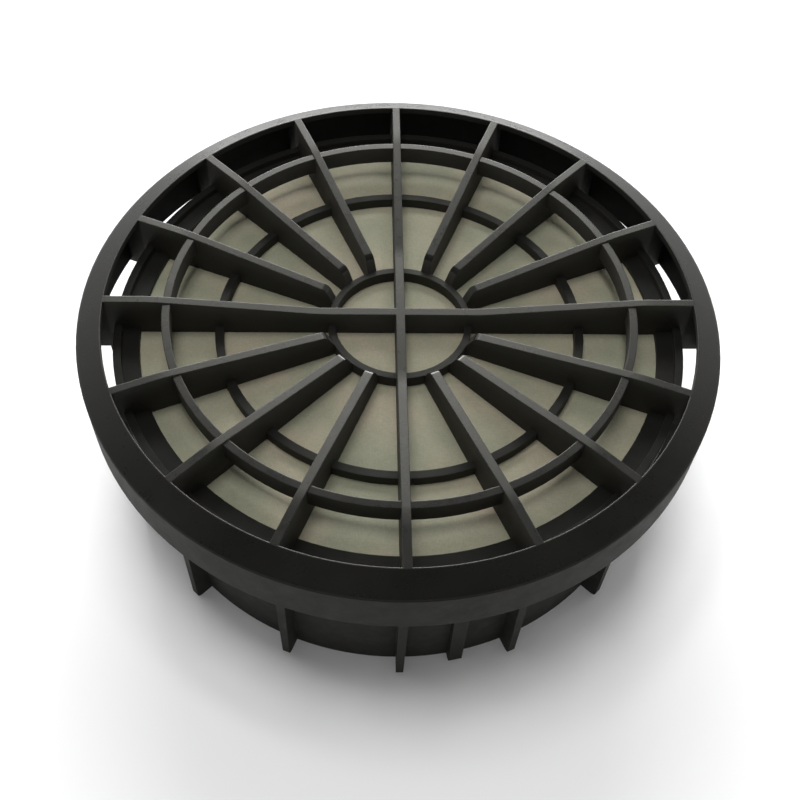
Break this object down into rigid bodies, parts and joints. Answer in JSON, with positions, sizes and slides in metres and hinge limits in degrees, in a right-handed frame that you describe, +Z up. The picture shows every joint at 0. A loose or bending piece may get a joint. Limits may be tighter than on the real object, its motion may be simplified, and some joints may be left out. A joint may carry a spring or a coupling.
{
  "type": "vacuum exhaust filter",
  "caption": "Round vacuum-cleaner exhaust filter: black moulded cup with a spoked grille, sloping rim and fins, holding a flat scrim over a pleated paper pack.",
  "frame": {"origin": "centre of the cup's foot, on the plane that the filter stands on", "axes": "+Z up along the filter's axis, from the inlet mouth to the grille; +X and +Y along the two through bars of the grille, with the locating rib 11.25 degrees from -Y towards +X"},
  "size_m": [0.1736, 0.1736, 0.0615],
  "materials": {
    "housing_plastic": "satin black moulded plastic with a fine moulded grain",
    "scrim_felt": "smooth olive-grey non-woven felt",
    "filter_paper": "off-white glass-fibre filter paper",
    "adhesive": "cream hot-melt adhesive, slightly glossy",
    "seal_rubber": "soft dark grey rubber"
  },
  "bodies": {
    "root": {"housing": "housing_plastic", "outlet_scrim": "scrim_felt", "pleat_pack": "filter_paper", "potting_bead": "adhesive", "pleat_spacers": "adhesive", "inlet_seal": "seal_rubber"}
  },
  "joints": []
}
